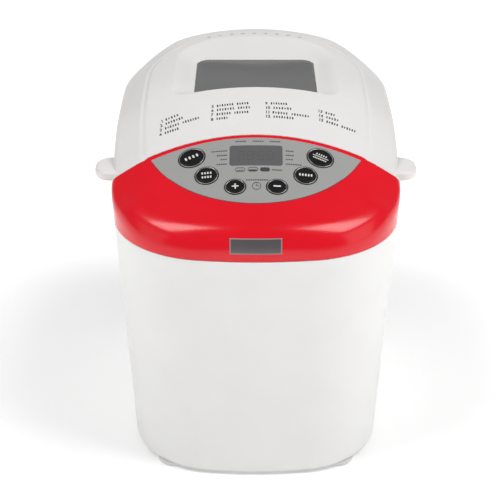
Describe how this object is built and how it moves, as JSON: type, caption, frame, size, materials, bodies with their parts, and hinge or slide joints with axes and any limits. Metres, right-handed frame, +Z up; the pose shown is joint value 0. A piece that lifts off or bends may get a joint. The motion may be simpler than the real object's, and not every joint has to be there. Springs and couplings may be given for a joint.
{
  "type": "bread machine",
  "caption": "Counter-top bread maker with a rounded white casing, sloping red control fascia, hinged lid with a viewing window, and a lift-out pan with a kneading paddle",
  "frame": {"origin": "middle of the footprint, on the plane that the feet stand on", "axes": "+Z up, -Y towards the control side, +X to the right as seen from the front"},
  "size_m": [0.288, 0.3428, 0.3258],
  "materials": {
    "white_casing": "smooth white moulded plastic, satin gloss",
    "red_fascia": "glossy red moulded plastic",
    "grey_panel": "silver grey printed film",
    "black_key": "black moulded key",
    "silver_trim": "bright metallised ring",
    "lcd_glass": "clear display lens",
    "lcd_body": "display module",
    "window_tint": "smoked viewing glass",
    "clear_pane": "clear heat-resistant glass",
    "dark_gasket": "black silicone",
    "foot_rubber": "pale grey-white rubber",
    "sheet_steel": "zinc-coated sheet steel",
    "liner_metal": "formed aluminium sheet",
    "pan_coating": "dark non-stick coating on aluminium",
    "wire_steel": "plated steel wire",
    "shaft_steel": "ground steel",
    "element_sheath": "heat-darkened steel tube",
    "bronze_bush": "sintered bronze",
    "pulley_plastic": "black moulded plastic",
    "belt_rubber": "toothed rubber belt",
    "stator_iron": "laminated iron",
    "board_green": "circuit board",
    "inner_plastic": "dark grey plastic",
    "die_cast": "die-cast aluminium"
  },
  "bodies": {
    "root": {"body_shell": "white_casing", "base_plate": "white_casing", "rubber_feet": "foot_rubber", "base_screws": "shaft_steel", "cord_gland": "inner_plastic", "chassis_plate": "sheet_steel", "chassis_screws": "shaft_steel", "chamber_brackets": "sheet_steel", "oven_chamber": "liner_metal", "top_deck": "white_casing", "heating_element": "element_sheath", "element_clips": "sheet_steel", "temperature_sensor": "wire_steel", "pan_socket": "die_cast", "drive_bearing": "bronze_bush", "drive_belt": "belt_rubber", "motor_stator": "stator_iron", "motor_end_bells": "die_cast", "motor_bolts": "shaft_steel", "motor_grommets": "dark_gasket", "power_board": "board_green", "transformer": "stator_iron", "motor_capacitor": "inner_plastic", "hinge_brackets": "white_casing", "front_fascia": "red_fascia", "control_panel": "grey_panel", "lcd_lens": "lcd_glass", "lcd_module": "lcd_body", "control_board": "board_green", "tact_switches": "inner_plastic", "button_bezels": "silver_trim"},
    "lid": {"lid_shell": "white_casing", "window_glass": "window_tint", "window_frame": "dark_gasket", "lid_liner": "liner_metal", "inner_window": "clear_pane", "lid_gasket": "dark_gasket", "liner_screws": "shaft_steel", "hinge_pins": "shaft_steel"},
    "menu_key": {"menu_button": "black_key"},
    "loaf_size_key": {"loaf_size_button": "black_key"},
    "plus_key": {"plus_button": "black_key"},
    "minus_key": {"minus_button": "black_key"},
    "crust_key": {"crust_button": "black_key"},
    "start_stop_key": {"start_stop_button": "black_key"},
    "pan": {"bread_pan": "pan_coating", "pan_base": "die_cast", "pan_bush": "bronze_bush", "shaft_seal": "dark_gasket"},
    "handle": {"pan_handle": "wire_steel"},
    "paddle": {"kneading_paddle": "pan_coating", "paddle_shaft": "shaft_steel", "pan_coupler": "die_cast"},
    "drive": {"drive_shaft": "shaft_steel", "large_pulley": "pulley_plastic", "drive_coupler": "die_cast"},
    "rotor": {"motor_shaft": "shaft_steel", "small_pulley": "pulley_plastic", "motor_rotor": "stator_iron", "cooling_fan": "pulley_plastic"}
  },
  "joints": [
    {"name": "lid_hinge", "type": "hinge", "parent": "root", "child": "lid", "pos_m": [0, 0.16535, 0.258], "axis": [-1, 0, 0], "range_deg": [0, 78]},
    {"name": "menu_press", "type": "slide", "parent": "root", "child": "menu_key", "axis": [0.1305, 0.418, -0.899], "range_m": [0, 0.001], "stiffness_N_per_m": 800, "springref_m": -0.001},
    {"name": "loaf_size_press", "type": "slide", "parent": "root", "child": "loaf_size_key", "axis": [0.0996, 0.4196, -0.9023], "range_m": [0, 0.001], "stiffness_N_per_m": 800, "springref_m": -0.001},
    {"name": "plus_press", "type": "slide", "parent": "root", "child": "plus_key", "axis": [0.0419, 0.4213, -0.906], "range_m": [0, 0.001], "stiffness_N_per_m": 800, "springref_m": -0.001},
    {"name": "minus_press", "type": "slide", "parent": "root", "child": "minus_key", "axis": [-0.0419, 0.4213, -0.906], "range_m": [0, 0.001], "stiffness_N_per_m": 800, "springref_m": -0.001},
    {"name": "crust_press", "type": "slide", "parent": "root", "child": "crust_key", "axis": [-0.0996, 0.4196, -0.9023], "range_m": [0, 0.001], "stiffness_N_per_m": 800, "springref_m": -0.001},
    {"name": "start_stop_press", "type": "slide", "parent": "root", "child": "start_stop_key", "axis": [-0.1305, 0.418, -0.899], "range_m": [0, 0.001], "stiffness_N_per_m": 800, "springref_m": -0.001},
    {"name": "pan_lift", "type": "slide", "parent": "root", "child": "pan", "axis": [0, 0, 1], "range_m": [0, 0.055]},
    {"name": "handle_swing", "type": "hinge", "parent": "pan", "child": "handle", "pos_m": [0, 0.03735, 0.206], "axis": [-1, 0, 0], "range_deg": [0, 164]},
    {"name": "drive_spin", "type": "hinge", "parent": "root", "child": "drive", "pos_m": [0, 0.03735, 0.02], "axis": [0, 0, 1], "continuous": true},
    {"name": "paddle_spin", "type": "hinge", "parent": "pan", "child": "paddle", "pos_m": [0, 0.03735, 0.08], "axis": [0, 0, 1], "continuous": true},
    {"name": "rotor_spin", "type": "hinge", "parent": "root", "child": "rotor", "pos_m": [0, -0.10565, 0.02], "axis": [0, 0, 1], "continuous": true}
  ],
  "couplings": [
    {"joint": "paddle_spin", "follows": "drive_spin", "ratio": 1},
    {"joint": "rotor_spin", "follows": "drive_spin", "ratio": 4.5}
  ]
}
